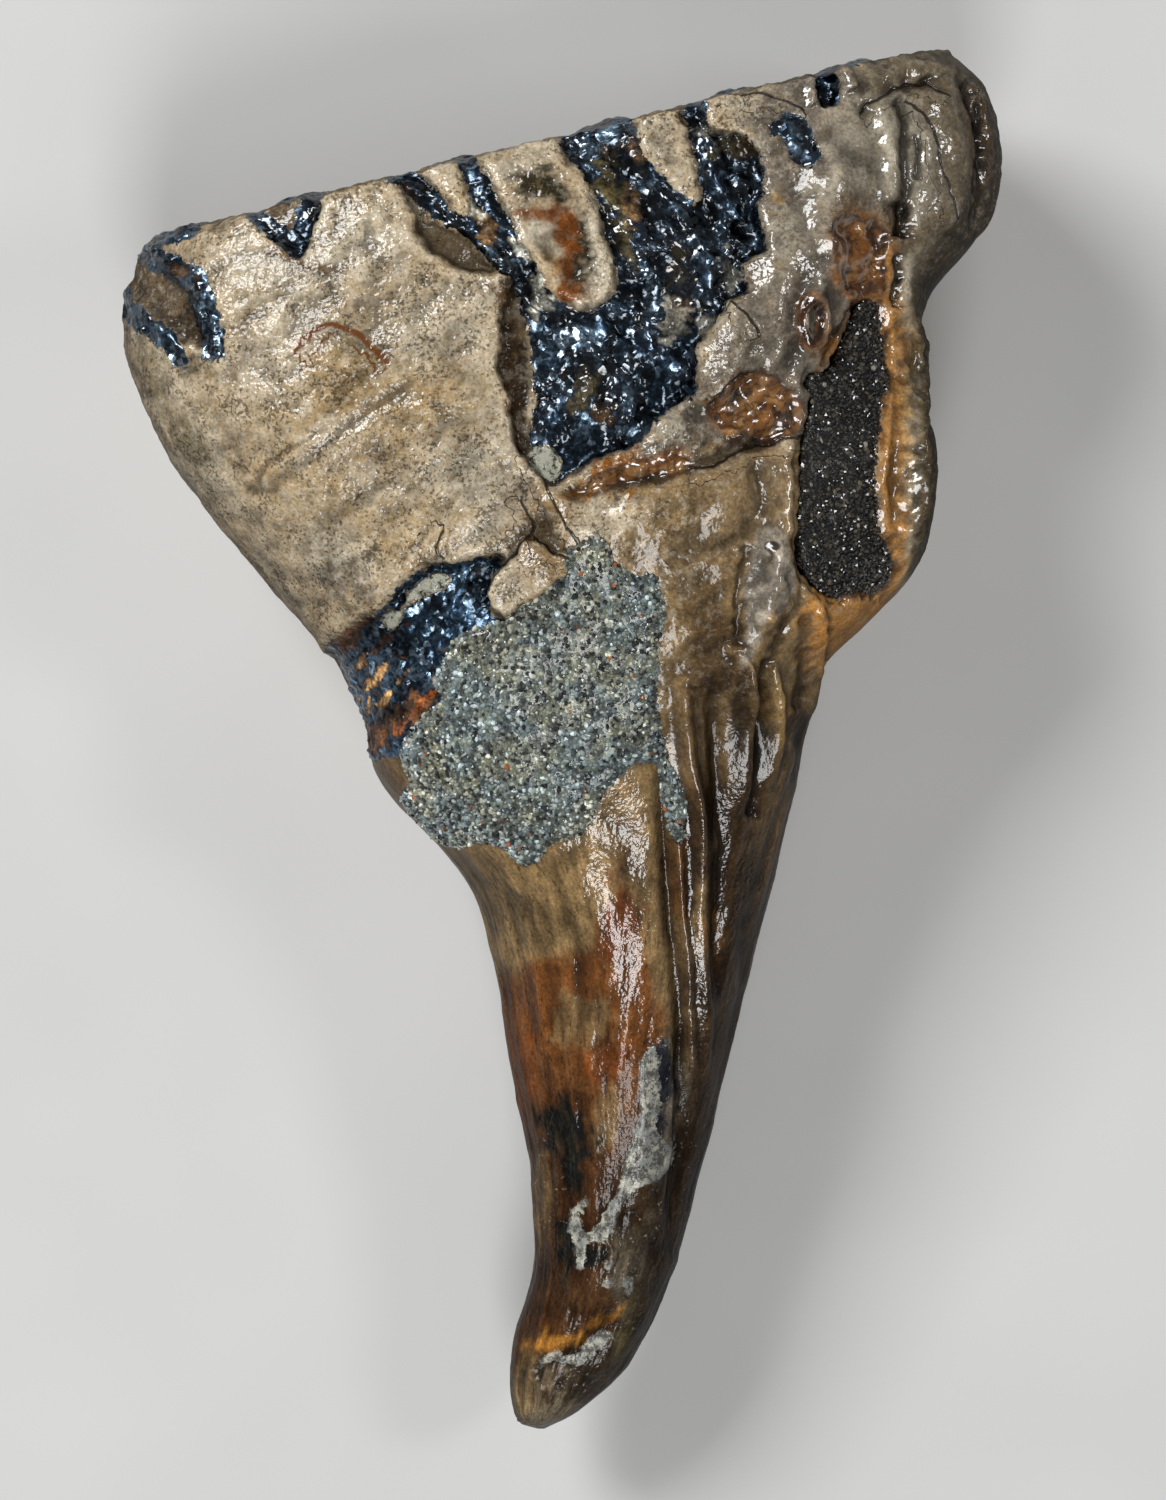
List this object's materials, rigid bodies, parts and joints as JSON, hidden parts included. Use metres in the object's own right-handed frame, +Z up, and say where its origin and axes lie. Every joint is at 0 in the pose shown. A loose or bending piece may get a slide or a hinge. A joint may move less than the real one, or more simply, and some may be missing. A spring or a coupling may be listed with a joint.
{
  "type": "fossil mammoth molar",
  "caption": "Worn fossil mammoth molar with a ridged chewing surface, a long curved root, a sandstone crust and a sand-filled root canal, lying on its side.",
  "frame": {"origin": "under the middle of the tooth's box, on the surface that it lies on", "axes": "+Z up from the surface, +Y along the tooth's length from the root tip towards the chewing surface, +X along the chewing surface towards the front of the tooth"},
  "size_m": [0.1226, 0.194, 0.0612],
  "materials": {
    "tooth": "varnished fossil cement, dentine and blue-black enamel",
    "sandstone": "grainy grey-green sandstone",
    "dark_sand": "dark set sand under varnish, glinting grains"
  },
  "bodies": {
    "root": {"tooth": "tooth", "sandstone_crust": "sandstone", "canal_sand": "dark_sand"}
  },
  "joints": []
}
